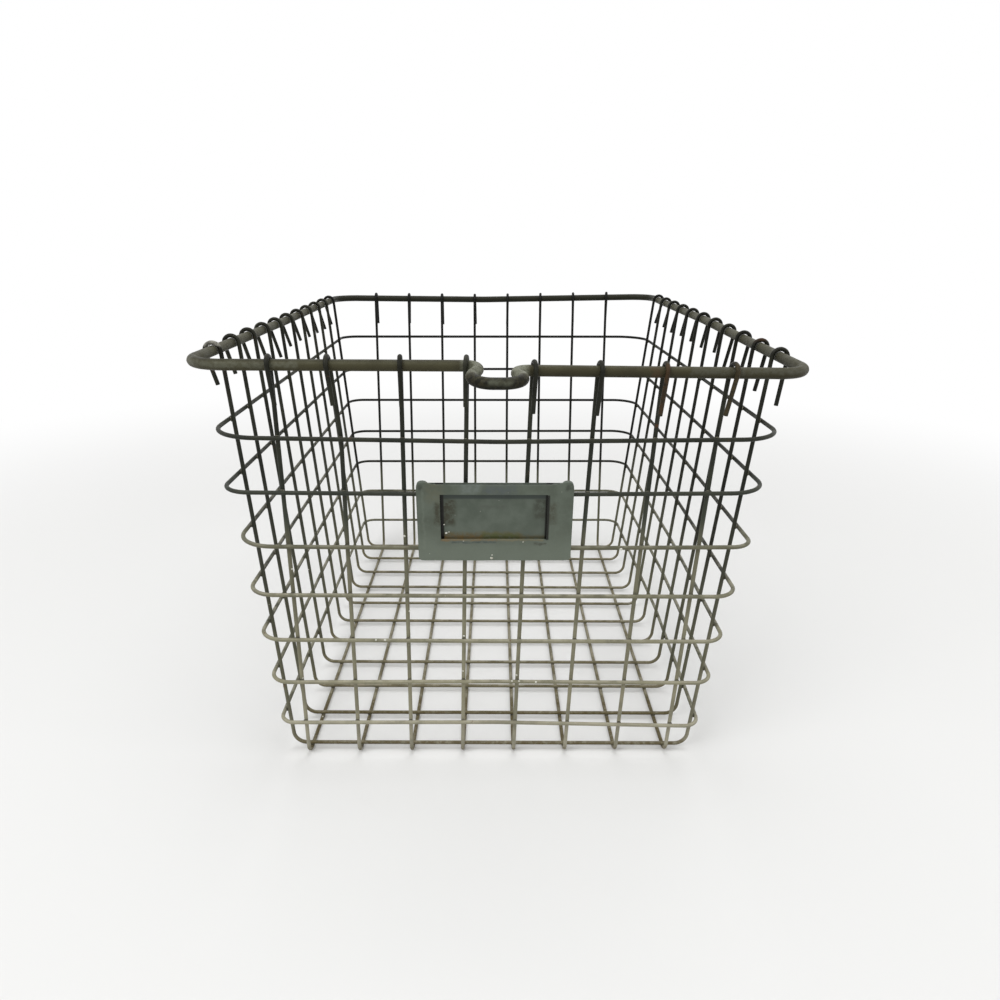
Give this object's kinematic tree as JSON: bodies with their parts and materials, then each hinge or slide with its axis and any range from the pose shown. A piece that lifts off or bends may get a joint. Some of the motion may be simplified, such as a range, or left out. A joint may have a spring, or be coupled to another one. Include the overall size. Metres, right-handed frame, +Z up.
{
  "type": "wire locker basket",
  "caption": "Open wire mesh basket with walls that flare upwards to a heavy rim rod, a bent rod loop for a padlock at the front and a sheet metal card holder.",
  "frame": {"origin": "middle of the basket's whole footprint, at the height of the table it stands on", "axes": "+Z up, -Y out of the front with the lock loop and the card holder, +X to the right as seen from the front"},
  "size_m": [0.3158, 0.4302, 0.257],
  "materials": {
    "rim": "worn satin, brown patina",
    "mesh": "worn satin, patina with rust specks",
    "bands": "worn satin, patina with rust specks",
    "sheet": "worn satin grey green"
  },
  "bodies": {
    "root": {"rim_rod": "rim", "front_back_wire_1": "mesh", "front_back_wire_2": "mesh", "front_back_wire_3": "mesh", "front_back_wire_4": "mesh", "front_back_wire_5": "mesh", "front_back_wire_6": "mesh", "front_back_wire_7": "mesh", "front_back_wire_8": "mesh", "cross_wire_1": "mesh", "cross_wire_2": "mesh", "cross_wire_3": "mesh", "cross_wire_4": "mesh", "cross_wire_5": "mesh", "cross_wire_6": "mesh", "cross_wire_7": "mesh", "cross_wire_8": "mesh", "cross_wire_9": "mesh", "cross_wire_10": "mesh", "cross_wire_11": "mesh", "band_hoop_1": "bands", "band_hoop_2": "bands", "band_hoop_3": "bands", "band_hoop_4": "bands", "band_hoop_5": "bands", "band_hoop_6": "bands", "band_hoop_7": "bands", "holder_back_plate": "sheet", "holder_face": "sheet"}
  },
  "joints": []
}
